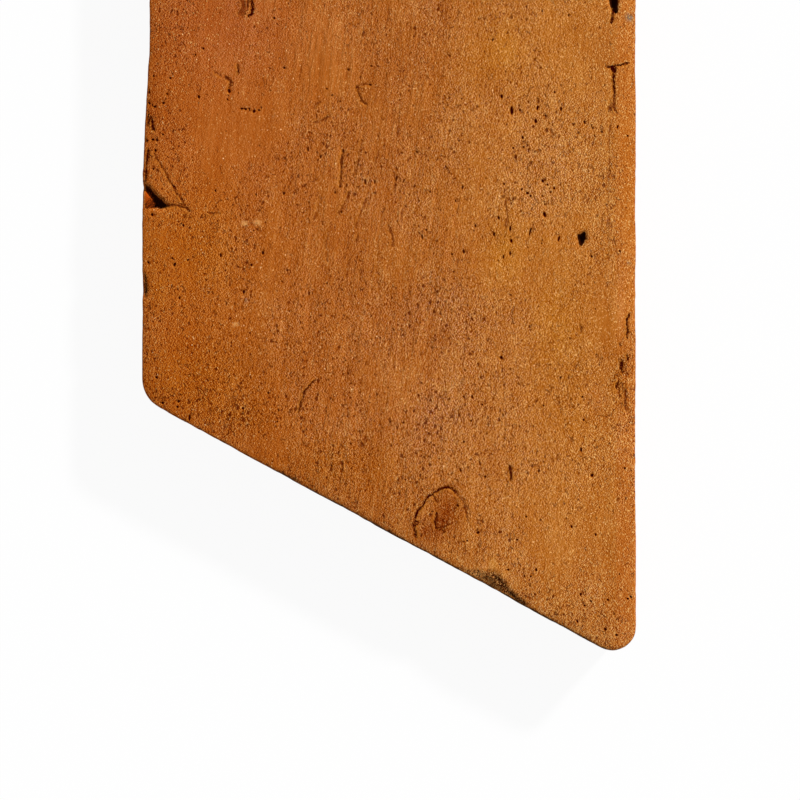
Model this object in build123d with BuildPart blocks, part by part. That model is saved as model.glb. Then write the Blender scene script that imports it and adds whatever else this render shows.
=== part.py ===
"""Handmade terracotta chevron tile: one fired plank with mitred ends, for a zigzag floor.

The tile lies face up on its bedding face. X runs across it, Y along its long sides and Z up.
The origin is on the bedding face, under the middle of the tile's bounding box.
"""

import os
from math import cos, radians, sin, tan

from build123d import *

# Driving sizes, in millimetres and degrees
WIDTH = 100.0  # over the swell of the left side
LONG_SIDE = 300.0  # between the sharp corners of the right side
THICKNESS = 20.0
MITRE_ANGLE = 28.5  # of both ends, away from square

# Outline: rounded corners, and a left side that swells outwards near the lower end
ACUTE_CORNER_RADIUS = 4.8
OBTUSE_CORNER_RADIUS = 7.0
SWELL = 1.5
SWELL_RUN = 40.0  # straight stretch from the sharp lower left corner
SWELL_FADE = 38.0  # length of the reverse curve back to the plain side

# Edges: a rolled lip along the right side, rubbed arrises, a rounder bedding edge
LIP_WIDTH = 5.0
LIP_DROP = 1.8
ARRIS_RADIUS = 0.9
BEDDING_EDGE_RADIUS = 1.2

# Torn notch in the left side, measured up from the sharp lower left corner
NOTCH_FROM_CORNER = 38.4
NOTCH_TIP_RISE = 0.5
NOTCH_LENGTH = 4.5
NOTCH_REACH = 5.0
NOTCH_DEPTH = 4.2
NOTCH_TAPER = 16.0

# Three bites out of the left arris, measured up from the same corner
LOW_BITE_FROM_CORNER = 13.6
LOW_BITE_LENGTH = 3.6
LOW_BITE_REACH = 0.6
MIDDLE_BITE_FROM_CORNER = 20.2
MIDDLE_BITE_LENGTH = 6.2
MIDDLE_BITE_REACH = 1.2
HIGH_BITE_FROM_CORNER = 45.2
HIGH_BITE_LENGTH = 5.0
HIGH_BITE_REACH = 0.8
BITE_DEPTH = 3.0
BITE_TAPER = 8.0

# Spalls on the lower mitred end, measured along it from the sharp lower left corner
SPALL_FROM_CORNER = 73.8
SPALL_LENGTH = 14.8
SPALL_REACH = 3.4
NICK_FROM_CORNER = 10.4
NICK_LENGTH = 1.9
NICK_REACH = 0.8

# Folds left open along the inner edge of the lip, measured up from the sharp lower right corner
FOLD_FROM_CORNER = 130.2
FOLD_LENGTH = 9.0
FOLD_WIDTH = 2.2
FOLD_DEPTH = 2.6
FOLD_TAPER = 14.0
TEAR_FROM_CORNER = 114.9
TEAR_LENGTH = 6.6
TEAR_WIDTH = 0.8
TEAR_ARM_LENGTH = 5.2
TEAR_ARM_WIDTH = 0.6
TEAR_DEPTH = 1.6

# Pit left by a lump that burnt out of the face
PIT_FROM_RIGHT = 11.3
PIT_FROM_CORNER = 84.4
PIT_LENGTH = 3.8
PIT_WIDTH = 2.0
PIT_DEPTH = 2.2
PIT_TAPER = 12.0
PIT_SHOULDER_SHARE = 0.72  # how far up its length the pit is widest

OVERRUN = 2.0  # how far every cut starts outside the clay

# Places worked out from the sizes above
slope = tan(radians(MITRE_ANGLE))
right = WIDTH / 2
swollen_left = -WIDTH / 2
plain_left = swollen_left + SWELL
low_right_y = -(LONG_SIDE + (right - plain_left) * slope) / 2
low_left_y = low_right_y + (right - swollen_left) * slope
high_right_y = low_right_y + LONG_SIDE
high_left_y = high_right_y + (right - plain_left) * slope
swell_end_y = low_left_y + SWELL_RUN
fade_end_y = swell_end_y + SWELL_FADE
lip_seam = right - LIP_WIDTH
lip_roll_radius = (LIP_WIDTH**2 + LIP_DROP**2) / (2 * LIP_DROP)
mitre_direction = Vector(cos(radians(MITRE_ANGLE)), -sin(radians(MITRE_ANGLE)))
mitre_start = Vector(swollen_left, low_left_y)

face_plane = Plane.XY.offset(THICKNESS)
arris_bites = [
    (LOW_BITE_FROM_CORNER, LOW_BITE_LENGTH, LOW_BITE_REACH),
    (MIDDLE_BITE_FROM_CORNER, MIDDLE_BITE_LENGTH, MIDDLE_BITE_REACH),
    (HIGH_BITE_FROM_CORNER, HIGH_BITE_LENGTH, HIGH_BITE_REACH),
]
mitre_spalls = [
    (SPALL_FROM_CORNER, SPALL_LENGTH, SPALL_REACH),
    (NICK_FROM_CORNER, NICK_LENGTH, NICK_REACH),
]

with BuildPart() as tile:
    # The plank: the outline, raised to the face
    with BuildSketch() as outline:
        with BuildLine():
            low_right = (right, low_right_y)
            low_left = (swollen_left, low_left_y)
            swell_end = (swollen_left, swell_end_y)
            fade_middle = ((swollen_left + plain_left) / 2, (swell_end_y + fade_end_y) / 2)
            fade_end = (plain_left, fade_end_y)
            high_left = (plain_left, high_left_y)
            high_right = (right, high_right_y)
            Polyline(fade_end, high_left, high_right, low_right, low_left, swell_end)
            TangentArc(swell_end, fade_middle, tangent=(0, 1))
            TangentArc(fade_end, fade_middle, tangent=(0, -1))
        make_face()
        ends = outline.vertices().sort_by(Axis.Y)
        fillet([ends[0], ends[-1]], radius=ACUTE_CORNER_RADIUS)
        left_corner = outline.vertices().group_by(Axis.X)[0].sort_by(Axis.Y)[0]
        right_corner = outline.vertices().group_by(Axis.X)[-1].sort_by(Axis.Y)[-1]
        fillet([left_corner, right_corner], radius=OBTUSE_CORNER_RADIUS)
    extrude(amount=THICKNESS)

    # The lip: the face rolls down towards the right side, over a cylinder that touches it at the seam
    with BuildSketch(Plane.XZ):
        with Locations((lip_seam, THICKNESS + OVERRUN)):
            Rectangle(LIP_WIDTH + OVERRUN, OVERRUN + LIP_DROP + OVERRUN, align=(Align.MIN, Align.MAX))
        with Locations((lip_seam, THICKNESS - lip_roll_radius)):
            Circle(lip_roll_radius, mode=Mode.SUBTRACT)
    extrude(amount=LONG_SIDE, both=True, mode=Mode.SUBTRACT)

    # The rubbed edges of the face, one smooth loop that the round follows, and the rounder edges underneath
    face_edges = tile.faces().sort_by(Axis.Z)[-1].edges()
    fillet(face_edges.sort_by(Axis.X)[0], radius=ARRIS_RADIUS)
    fillet(tile.edges().group_by(Axis.Z)[0], radius=BEDDING_EDGE_RADIUS)

    # The torn notch: a wedge driven in from the left side
    with BuildSketch(face_plane):
        with BuildLine():
            notch_low_y = low_left_y + NOTCH_FROM_CORNER
            Polyline(
                (swollen_left - OVERRUN, notch_low_y),
                (swollen_left, notch_low_y),
                (swollen_left + NOTCH_REACH, notch_low_y + NOTCH_TIP_RISE),
                (swollen_left, notch_low_y + NOTCH_LENGTH),
                (swollen_left - OVERRUN, notch_low_y + NOTCH_LENGTH),
                close=True,
            )
        make_face()
    extrude(amount=-NOTCH_DEPTH, taper=NOTCH_TAPER, mode=Mode.SUBTRACT)

    # The bites: shallow curved flakes off the left arris
    for bite_from_corner, bite_length, bite_reach in arris_bites:
        bite_low_y = low_left_y + bite_from_corner
        bite_low = (swollen_left, bite_low_y)
        bite_deepest = (swollen_left + bite_reach, bite_low_y + bite_length / 2)
        bite_high = (swollen_left, bite_low_y + bite_length)
        with BuildSketch(face_plane):
            with BuildLine():
                ThreePointArc(bite_low, bite_deepest, bite_high)
                Polyline(
                    bite_high,
                    (swollen_left - OVERRUN, bite_low_y + bite_length),
                    (swollen_left - OVERRUN, bite_low_y),
                    bite_low,
                )
            make_face()
        extrude(amount=-BITE_DEPTH, taper=BITE_TAPER, mode=Mode.SUBTRACT)

    # The spalls: lemon shaped hollows, turned about the arris of the mitred end
    for spall_from_corner, spall_length, spall_reach in mitre_spalls:
        spall_start = mitre_start + mitre_direction * spall_from_corner
        spall_plane = Plane(
            origin=(spall_start.X, spall_start.Y, THICKNESS),
            x_dir=(mitre_direction.X, mitre_direction.Y, 0),
            z_dir=(0, 0, 1),
        )
        with BuildSketch(spall_plane):
            with BuildLine():
                ThreePointArc((0, 0), (spall_length / 2, spall_reach), (spall_length, 0))
                Line((spall_length, 0), (0, 0))
            make_face()
        spall_axis = Axis(spall_plane.origin, spall_plane.x_dir)
        revolve(axis=spall_axis, mode=Mode.SUBTRACT)

    # The open fold: a narrow leaf shaped gap beside the lip
    with BuildSketch(face_plane):
        with BuildLine():
            fold_low = (lip_seam, low_right_y + FOLD_FROM_CORNER)
            fold_high = (lip_seam, low_right_y + FOLD_FROM_CORNER + FOLD_LENGTH)
            fold_middle_y = low_right_y + FOLD_FROM_CORNER + FOLD_LENGTH / 2
            ThreePointArc(fold_low, (lip_seam + FOLD_WIDTH / 2, fold_middle_y), fold_high)
            ThreePointArc(fold_high, (lip_seam - FOLD_WIDTH / 2, fold_middle_y), fold_low)
        make_face()
    extrude(amount=-FOLD_DEPTH, taper=FOLD_TAPER, mode=Mode.SUBTRACT)

    # The tear: a pointed split with a cross arm at its top
    with BuildSketch(face_plane):
        tear_low_y = low_right_y + TEAR_FROM_CORNER
        tear_high_y = tear_low_y + TEAR_LENGTH
        with BuildLine():
            Polyline(
                (lip_seam, tear_low_y),
                (lip_seam + TEAR_WIDTH / 2, tear_high_y),
                (lip_seam - TEAR_WIDTH / 2, tear_high_y),
                close=True,
            )
        make_face()
        with BuildLine():
            Polyline(
                (lip_seam - TEAR_ARM_LENGTH / 2, tear_high_y),
                (lip_seam, tear_high_y - TEAR_ARM_WIDTH / 2),
                (lip_seam + TEAR_ARM_LENGTH / 2, tear_high_y),
                (lip_seam, tear_high_y + TEAR_ARM_WIDTH / 2),
                close=True,
            )
        make_face()
    extrude(amount=-TEAR_DEPTH, mode=Mode.SUBTRACT)

    # The pit: a blunt wedge, widest near its upper end
    with BuildSketch(face_plane):
        with BuildLine():
            pit_x = right - PIT_FROM_RIGHT
            pit_low_y = low_right_y + PIT_FROM_CORNER
            pit_shoulder_y = pit_low_y + PIT_LENGTH * PIT_SHOULDER_SHARE
            Polyline(
                (pit_x, pit_low_y),
                (pit_x + PIT_WIDTH / 2, pit_shoulder_y),
                (pit_x + PIT_WIDTH / 2, pit_low_y + PIT_LENGTH),
                (pit_x - PIT_WIDTH / 2, pit_shoulder_y),
                close=True,
            )
        make_face()
    extrude(amount=-PIT_DEPTH, taper=PIT_TAPER, mode=Mode.SUBTRACT)

tile.part.label = "tile"
os.makedirs("parts", exist_ok=True)
export_step(tile.part, "parts/tile.step")
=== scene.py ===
# %% [markdown]
# # A handmade terracotta chevron tile
#
# The real tile is one slab of sandy clay: pressed into a mould, struck off along its length by hand,
# dried and fired. There is only one piece to make, so the lesson is about one surface and one finish.
# The imported CAD part gives the size and the place of that piece. It is loaded first, and its box gives
# the width and the thickness of the tile.

# %% Load the imported part and keep its box
import math

import bpy
import numpy as np
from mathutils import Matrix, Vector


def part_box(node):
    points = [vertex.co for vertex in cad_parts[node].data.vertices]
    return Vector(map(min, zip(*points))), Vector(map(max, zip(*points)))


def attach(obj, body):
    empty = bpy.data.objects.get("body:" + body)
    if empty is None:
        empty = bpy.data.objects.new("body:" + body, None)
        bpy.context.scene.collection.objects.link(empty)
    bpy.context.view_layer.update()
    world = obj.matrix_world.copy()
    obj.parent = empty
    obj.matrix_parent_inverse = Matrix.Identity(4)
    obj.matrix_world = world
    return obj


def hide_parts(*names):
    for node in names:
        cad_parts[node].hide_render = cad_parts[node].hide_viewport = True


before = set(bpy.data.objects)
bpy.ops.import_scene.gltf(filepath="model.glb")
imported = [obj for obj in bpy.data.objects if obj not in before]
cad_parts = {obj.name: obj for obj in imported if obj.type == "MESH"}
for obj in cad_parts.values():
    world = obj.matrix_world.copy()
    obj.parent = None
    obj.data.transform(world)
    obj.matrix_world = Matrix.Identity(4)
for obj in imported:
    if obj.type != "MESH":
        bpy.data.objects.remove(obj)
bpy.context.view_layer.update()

MM = 0.001  # metres in a millimetre: the tile is worked out in millimetres
tile_low, tile_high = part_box("tile")
WIDTH = (tile_high.x - tile_low.x) / MM
THICKNESS = (tile_high.z - tile_low.z) / MM
print(f"packed tile: {WIDTH:.1f} mm wide, {THICKNESS:.1f} mm thick")

# %% [markdown]
# ## The plan of the tile
#
# Seen from above the tile is a parallelogram. Both ends are cut at the same slant, so that tiles meet
# in a zigzag floor. The acute corners are rubbed to a small round and the blunt ones to a larger one,
# and the left side swells outwards a little near the lower end. These are the sizes of the CAD part.

# %% Sizes of the plan, in millimetres
LONG_SIDE = 300.0
MITRE_ANGLE = math.radians(28.5)
ACUTE_CORNER_RADIUS = 4.8
OBTUSE_CORNER_RADIUS = 7.0
SWELL = 1.5
SWELL_RUN = 40.0
SWELL_FADE = 38.0

slope = math.tan(MITRE_ANGLE)
right = WIDTH / 2
low_right_y = -(LONG_SIDE + (WIDTH - SWELL) * slope) / 2
low_left_y = low_right_y + WIDTH * slope
swell_end_y = low_left_y + SWELL_RUN
fade_end_y = swell_end_y + SWELL_FADE
low_right = np.array([right, low_right_y])
low_left = np.array([-right, low_left_y])
high_right = low_right + [0.0, LONG_SIDE]
high_left = low_left + [0.0, LONG_SIDE]
print(f"sharp lower corners at {low_left.round(1)} and {low_right.round(1)} mm")

# %% [markdown]
# ## Places taken from the photograph
#
# Most marks on the face were placed on the photograph, so their places are written as its pixels and
# turned into millimetres here. Two things tie the two together: the tile is 495 pixels wide, and the
# sharp lower right corner would lie in a known pixel row.

# %% From photograph pixels to the tile
PHOTO_TILE_WIDTH = 495.0
PHOTO_TILE_MIDDLE = 389.0  # pixel column of the tile's centre line
PHOTO_LOW_RIGHT_ROW = 667.6  # pixel row of the sharp lower right corner
PIXEL = WIDTH / PHOTO_TILE_WIDTH


def on_tile(marks):
    """Millimetres on the tile for rows of (pixel column, pixel row): moved to the corner and scaled."""
    marks = np.asarray(marks, dtype=float)
    x = (marks[:, 0] - PHOTO_TILE_MIDDLE) * PIXEL
    y = low_right_y + (PHOTO_LOW_RIGHT_ROW - marks[:, 1]) * PIXEL
    return np.stack([x, y], axis=1)


print(f"one pixel of the photograph is {PIXEL:.3f} mm on the tile")

# %% [markdown]
# ## Helpers for uneven clay
#
# Nothing on a handmade tile is straight. Three small functions do most of that work. `ease` is a soft
# step, used wherever one level runs into another. `clay_noise` is value noise: random numbers on a
# lattice with soft steps between them. Its two lattice lengths make marks long in one direction.
# `layered_noise` adds up several of those, coarse and fine.

# %% Soft steps and value noise
NOISE_TABLE = 512


def ease(start, end, value):
    """A soft step: 0 up to start, 1 from end on, and 3t^2 - 2t^3 of the share t in between."""
    share = np.clip((value - start) / (end - start), 0.0, 1.0)
    return share * share * (3.0 - 2.0 * share)


def clay_noise(x, y, length_x, length_y, seed):
    """Noise from -1 to 1: random numbers on a lattice of length_x by length_y, eased in between."""
    table = np.random.default_rng(seed).uniform(-1.0, 1.0, (NOISE_TABLE, NOISE_TABLE))
    across = x / length_x
    along = y / length_y
    column = np.floor(across).astype(int)
    row = np.floor(along).astype(int)
    share_across = ease(0.0, 1.0, across - column)
    share_along = ease(0.0, 1.0, along - row)
    left, next_column = column % NOISE_TABLE, (column + 1) % NOISE_TABLE
    low, next_row = row % NOISE_TABLE, (row + 1) % NOISE_TABLE
    near = table[low, left] * (1 - share_across) + table[low, next_column] * share_across
    far = table[next_row, left] * (1 - share_across) + table[next_row, next_column] * share_across
    return near * (1 - share_along) + far * share_along


def layered_noise(x, y, layers):
    """A sum of clay noise over rows of weight, length across, length along and seed."""
    return sum(weight * clay_noise(x, y, across, along, seed) for weight, across, along, seed in layers)


# %% [markdown]
# ## The grid of the face
#
# A grid that is fine enough for the pores would be far too heavy for the whole tile. So the rows are
# graded: close together at the lower end, which shows the marks best, and wider apart beyond it.
# The grid stops short of the edge, with sharp corners. A border then carries it out to the rounded
# outline, so that no cell is crushed in a corner.

# %% Rows and columns of the face
FACE_STEP = 0.5
FAR_STEP = 1.5
FINE_UNTIL = 122.0  # along the tile, from the lower end
COARSE_FROM = 165.0
BORDER = 6.0
BACK_EVERY = 4  # the back uses every fourth point of the outline
SUM_POINTS = 4001  # where the running sum of the steps is taken


def graded_steps(start, end, spacing_at):
    """Points from start to end: the running sum of 1 / spacing is cut into equal parts."""
    fine = np.linspace(start, end, SUM_POINTS)
    middles = (fine[1:] + fine[:-1]) / 2
    steps = np.concatenate([[0.0], np.cumsum(np.diff(fine) / spacing_at(middles))])
    count = BACK_EVERY * round(steps[-1] / BACK_EVERY)
    return np.interp(np.linspace(0.0, steps[-1], count + 1), steps, fine)


def column_spacing(x):
    return np.full_like(x, FACE_STEP)


def row_spacing(along):
    return FACE_STEP + (FAR_STEP - FACE_STEP) * ease(FINE_UNTIL, COARSE_FROM, along)


def slanted_grid(columns, rows):
    """Places and indices of a grid with slanted rows, and the indices once around its edge."""
    x, along = np.meshgrid(columns, rows)
    y = low_right_y + (right - x) * slope + along
    index = np.arange(x.size).reshape(x.shape)
    loop = np.concatenate([index[0, :-1], index[:-1, -1], index[-1, :0:-1], index[:0:-1, 0]])
    return x, y, index, loop


border_along = BORDER / math.cos(MITRE_ANGLE)
columns = graded_steps(-right + BORDER, right - BORDER, column_spacing)
rows = graded_steps(border_along, LONG_SIDE - border_along, row_spacing)
grid_x, grid_y, grid_index, loop = slanted_grid(columns, rows)
print(f"face grid: {len(columns)} columns by {len(rows)} rows, {len(loop)} points around it")

# %% [markdown]
# ## The outline
#
# Each side runs from the middle of one corner's arc to the middle of the next: half an arc, a straight
# stretch and half an arc. The same function also gives the direction that points out of the clay,
# because the border, the rounded arris and the wall are all carried along this one path.

# %% Four sides with rounded corners
ACUTE_TURN = math.pi / 2 + MITRE_ANGLE
OBTUSE_TURN = math.pi / 2 - MITRE_ANGLE


def side_curve(start, end, start_radius, end_radius, start_turn, end_turn, share):
    """Points and outward directions at shares of one side: half an arc, a straight line, half an arc.

    On an arc the outward direction swings by the arc's angle, and the point is the arc's centre plus
    the radius times that direction.
    """
    length = np.hypot(*(end - start))
    ahead = (end - start) / length
    outward = np.array([ahead[1], -ahead[0]])
    start_cut = start_radius * math.tan(start_turn / 2)
    end_cut = end_radius * math.tan(end_turn / 2)
    start_arc = start_radius * start_turn / 2
    straight = length - start_cut - end_cut
    run = share * (start_arc + straight + end_radius * end_turn / 2)
    start_angle = np.maximum(start_arc - run, 0.0) / start_radius
    end_angle = np.maximum(run - start_arc - straight, 0.0) / end_radius
    angle = (end_angle - start_angle)[:, None]
    radius = np.where(angle < 0.0, start_radius, end_radius)
    along = start_cut + np.clip(run - start_arc, 0.0, straight)[:, None]
    normals = outward * np.cos(angle) + ahead * np.sin(angle)
    return start + ahead * along + (normals - outward) * radius, normals


across_share = (columns - columns[0]) / (columns[-1] - columns[0])
along_share = (rows - rows[0]) / (rows[-1] - rows[0])
blunt = (OBTUSE_CORNER_RADIUS, OBTUSE_TURN)
acute = (ACUTE_CORNER_RADIUS, ACUTE_TURN)
sides = [
    (low_left, blunt, low_right, acute, across_share[:-1]),
    (low_right, acute, high_right, blunt, along_share[:-1]),
    (high_right, blunt, high_left, acute, 1 - across_share[:0:-1]),
    (high_left, acute, low_left, blunt, 1 - along_share[:0:-1]),
]
curves = [side_curve(a, b, ra, rb, ta, tb, share) for a, (ra, ta), b, (rb, tb), share in sides]
outline = np.concatenate([points for points, normals in curves])
outward = np.concatenate([normals for points, normals in curves])
print(f"outline: {len(outline)} points")

# %% [markdown]
# ## The border between grid and edge
#
# The border is a set of rings. Each lies at a share of the way from the grid's own edge to the place
# where the arris, the rubbed edge of the face, begins to turn down. The rings crowd together towards
# the edge, where the bites are. The outline itself wanders a little, and the whole plan is then bent
# for the swell of the left side. The bend moves points along the slant, so the ends stay straight.

# %% Rings of the border, and the swell
BORDER_RINGS = 11
RING_CROWDING = 1.3
ARRIS_RADIUS = 0.55
WANDER = 0.10  # how far the outline strays, with a long and a short wave
WANDER_LAYERS = [(1.0, 7.0, 7.0, 11), (0.7, 1.3, 1.3, 12)]
WANDER_INWARDS = 0.7  # clay is lost rather than gained


def swell(x, y):
    """The plan with its left side drawn in above the swell, along the slant and fading to the right."""
    shift = SWELL * ease(swell_end_y, fade_end_y, y) * (right - x) / WIDTH
    return x + shift, y - shift * slope


stray = layered_noise(outline[:, 0], outline[:, 1], WANDER_LAYERS)
outline = outline - (WANDER * np.maximum(WANDER_INWARDS + stray, 0.0))[:, None] * outward
arris_start = outline - ARRIS_RADIUS * outward
grid_edge = np.stack([grid_x.ravel()[loop], grid_y.ravel()[loop]], axis=1)
ring_share = 1 - (1 - np.linspace(0.0, 1.0, BORDER_RINGS + 1)[1:]) ** RING_CROWDING
border = grid_edge + ring_share[:, None, None] * (arris_start - grid_edge)
face_x = np.concatenate([grid_x.ravel(), border[:, :, 0].ravel()])
face_y = np.concatenate([grid_y.ravel(), border[:, :, 1].ravel()])
face_x, face_y = swell(face_x, face_y)
print(f"face: {len(face_x)} points, of which {border.shape[0] * border.shape[1]} in the border")

# %% [markdown]
# ## How far from the edges
#
# Many things on the face depend on how near the edge is: the lip, the sag and the painted edge shade.
# So the distances from the left side, the lower end and the right side are worked out once for every
# point.

# %% Distances from the edges


def edge_gaps(x, y):
    """Distances from the left side, which swells, and from the lower end, which slants."""
    from_left = x + right - SWELL * ease(swell_end_y, fade_end_y, y)
    from_low = (y - low_right_y - (right - x) * slope) * math.cos(MITRE_ANGLE)
    return from_left, from_low


from_left, from_low = edge_gaps(face_x, face_y)
from_right = right - face_x
print(f"nearest face point to the lower end: {from_low.min():.2f} mm")

# %% [markdown]
# ## Lip, sag and drag marks
#
# The strike that levelled the face left the clay slightly wavy along its length and pushed it over
# the right side, where it set as a rolled lip. Along the left side and the lower end the face sags.
# All of these are sums of soft steps and long noise, added to a flat height.

# %% The broad shape of the face
LIP_WIDTH = 4.6
LIP_DROP = 1.0
LIP_LEAST = 0.45  # share of the drop at the lower end, full from LIP_FULL_Y on
LIP_FADE_Y = -140.0
LIP_FULL_Y = -85.0
SAG_WIDTH = 9.0
SAG_DROP = 0.5
WAVE = 0.14
WAVE_CREST = 1.5  # heights of the noise that lie level with the face
DRAG = 0.075
LUMP = 0.04
MARK_CREST = 1.0
SAND = 0.015
DRAG_LAYERS = [(1.0, 1.1, 11.0, 21), (0.9, 2.6, 22.0, 22)]
WAVE_LAYERS = [(1.0, 21.0, 60.0, 23), (0.5, 9.0, 30.0, 24)]
LUMP_LAYERS = [(1.0, 3.2, 4.6, 25), (0.6, 1.5, 2.0, 26)]
SAND_LAYERS = [(1.0, 0.55, 0.6, 27)]
DRAG_LEAST = 0.4  # outside the dragged band, which these four places along X bound
DRAG_BAND = (-26.0, -16.0, 8.0, 22.0)
DRAG_LEAN = 0.15  # sideways for each millimetre along
LEAN_FROM_Y = -95.0  # the relief leans from here on

lip_share = np.clip((LIP_WIDTH - from_right) / LIP_WIDTH, 0.0, 1.0)
lip_fade = LIP_LEAST + (1 - LIP_LEAST) * ease(LIP_FADE_Y, LIP_FULL_Y, face_y)
low_sag = np.clip(1 - from_low / SAG_WIDTH, 0.0, 1.0) ** 2
left_sag = np.clip(1 - from_left / SAG_WIDTH, 0.0, 1.0) ** 4
lean_x = face_x - DRAG_LEAN * np.maximum(face_y - LEAN_FROM_Y, 0.0)
drag = layered_noise(lean_x, face_y, DRAG_LAYERS)
in_band = ease(*DRAG_BAND[:2], face_x) * (1 - ease(*DRAG_BAND[2:], face_x))
drag_here = DRAG_LEAST + (1 - DRAG_LEAST) * in_band
wave = layered_noise(face_x, face_y, WAVE_LAYERS)
lump = layered_noise(face_x, face_y, LUMP_LAYERS)
sand = layered_noise(face_x, face_y, SAND_LAYERS)
face_z = (
    THICKNESS
    - LIP_DROP * lip_fade * lip_share**2
    - SAG_DROP * (low_sag + left_sag)
    + WAVE * (wave - WAVE_CREST)
    + DRAG * drag_here * (drag - MARK_CREST)
    + LUMP * (lump - MARK_CREST)
    + SAND * sand
)
print(f"face height before marks: {face_z.min():.2f} to {face_z.max():.2f} mm")

# %% [markdown]
# ## Torn places with an outline
#
# A few places are large enough to have an outline of their own: the torn notch in the left side, the
# bites near it, the spall at the lower end, the open fold at the top of the lip and the pit left by a
# lump that burnt out. Each is drawn as a few points. The signed distance to that outline, negative
# inside, gives the depth, and is also kept on the mesh for the finish to read. The places are nudged by
# noise before they are measured, so that straight lines come out ragged.

# %% Signed distance to a drawn outline
RAGGED_LAYERS = [[(0.2, 1.3, 1.3, 41)], [(0.2, 1.3, 1.3, 42)]]  # nudges along X and Y

ragged_x = face_x + layered_noise(face_x, face_y, RAGGED_LAYERS[0])
ragged_y = face_y + layered_noise(face_x, face_y, RAGGED_LAYERS[1])


def outline_gap(x, y, corners):
    """Distance to a closed outline, negative inside: the least over its edges, signed by crossings."""
    gap = np.full(x.shape, np.inf)
    inside = np.zeros(x.shape, dtype=bool)
    for (ax, ay), (bx, by) in zip(corners, np.roll(corners, -1, axis=0)):
        share = ((x - ax) * (bx - ax) + (y - ay) * (by - ay)) / ((bx - ax) ** 2 + (by - ay) ** 2)
        share = np.clip(share, 0.0, 1.0)
        gap = np.minimum(gap, np.hypot(x - ax - share * (bx - ax), y - ay - share * (by - ay)))
        if ay != by:
            crosses = ((ay > y) != (by > y)) & (x < ax + (y - ay) * (bx - ax) / (by - ay))
            inside = inside ^ crosses
    return np.where(inside, -gap, gap)


# %% Torn places on the photograph, in pixels
NOTCH = [
    (136, 174), (143, 181.5), (147, 186), (153, 191.5), (157, 197), (163, 201), (168, 206),
    (159, 208.5), (136, 209),
]
NOTCH_SHADE = [
    (140, 177), (147, 185), (153, 190.5), (158, 197), (163, 200.5), (169, 206), (159, 209.5),
    (151, 207.5), (154, 204), (151, 199), (147, 193), (142, 186),
]
BITE = [(136, 267), (143, 270), (146.5, 279), (148, 290), (147, 296), (143.5, 299), (136, 300)]
SMALL_BITE = [(136, 315), (143.2, 317), (143.6, 328), (136, 332)]
SPALL = [
    (464, 566), (470, 570), (482, 571), (494, 572), (503, 580), (511, 589.7), (527, 605),
    (527, 625), (462, 590),
]
SPALL_SHADE = [
    (492, 571), (497, 572), (506, 582), (516, 594), (528, 605), (526, 612), (506, 592), (497, 582),
]
FOLD = [(609.5, -12), (609.3, 5), (612, 10), (614, 12), (617.5, 14), (618.8, 2), (618.5, -12)]
PIT = [
    (576, 234.6), (580, 233.6), (584, 230.6), (586.3, 232), (585.8, 238.5), (582, 245),
    (579.5, 249.3), (577.4, 240),
]
# Each torn place: outline, depth, width of the wall that leads down to it
TORN = {
    "notch": (NOTCH, 0.8, 0.5),
    "notch shade": (NOTCH_SHADE, 1.2, 0.4),
    "bite": (BITE, 1.4, 0.9),
    "small bite": (SMALL_BITE, 0.8, 0.6),
    "spall": (SPALL, 1.3, 2.6),
    "spall shade": (SPALL_SHADE, 0.5, 0.8),
    "fold": (FOLD, 2.0, 0.7),
    "pit": (PIT, 1.8, 0.7),
}
TORN_START = 0.15  # how far outside its outline a torn place begins to sink
RUBBLE_START = 0.3  # the same for the rubble in the spall, and where that is highest
RUBBLE_FULL = -0.6
RUBBLE_LAYERS = [(0.3, 0.9, 0.9, 43)]

torn_gap = {}
for name, (corners, depth, wall) in TORN.items():
    torn_gap[name] = outline_gap(ragged_x, ragged_y, on_tile(corners))
    face_z = face_z - depth * ease(TORN_START, -wall, torn_gap[name])
in_spall = ease(RUBBLE_START, RUBBLE_FULL, torn_gap["spall"])
face_z = face_z + in_spall * layered_noise(face_x, face_y, RUBBLE_LAYERS)
hole_gap = np.minimum(torn_gap["fold"], torn_gap["pit"])
shade_gap = np.minimum(torn_gap["notch shade"], torn_gap["bite"])
shade_gap = np.minimum(shade_gap, torn_gap["small bite"])
print(f"torn places: {len(TORN)}, lowest point {face_z.min():.2f} mm")

# %% [markdown]
# ## Cracks
#
# A crack is thinner than the grid. Its signed distance, positive on one side and negative on the
# other, is straight across it, so a mesh can carry it from point to point without losing the line,
# and the finish draws a crisp crack where it is near zero. A second number holds the half width. It
# falls below zero past the ends and away from the line, which keeps false lines out. The clay is also
# lowered into a shallow groove.

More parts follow.
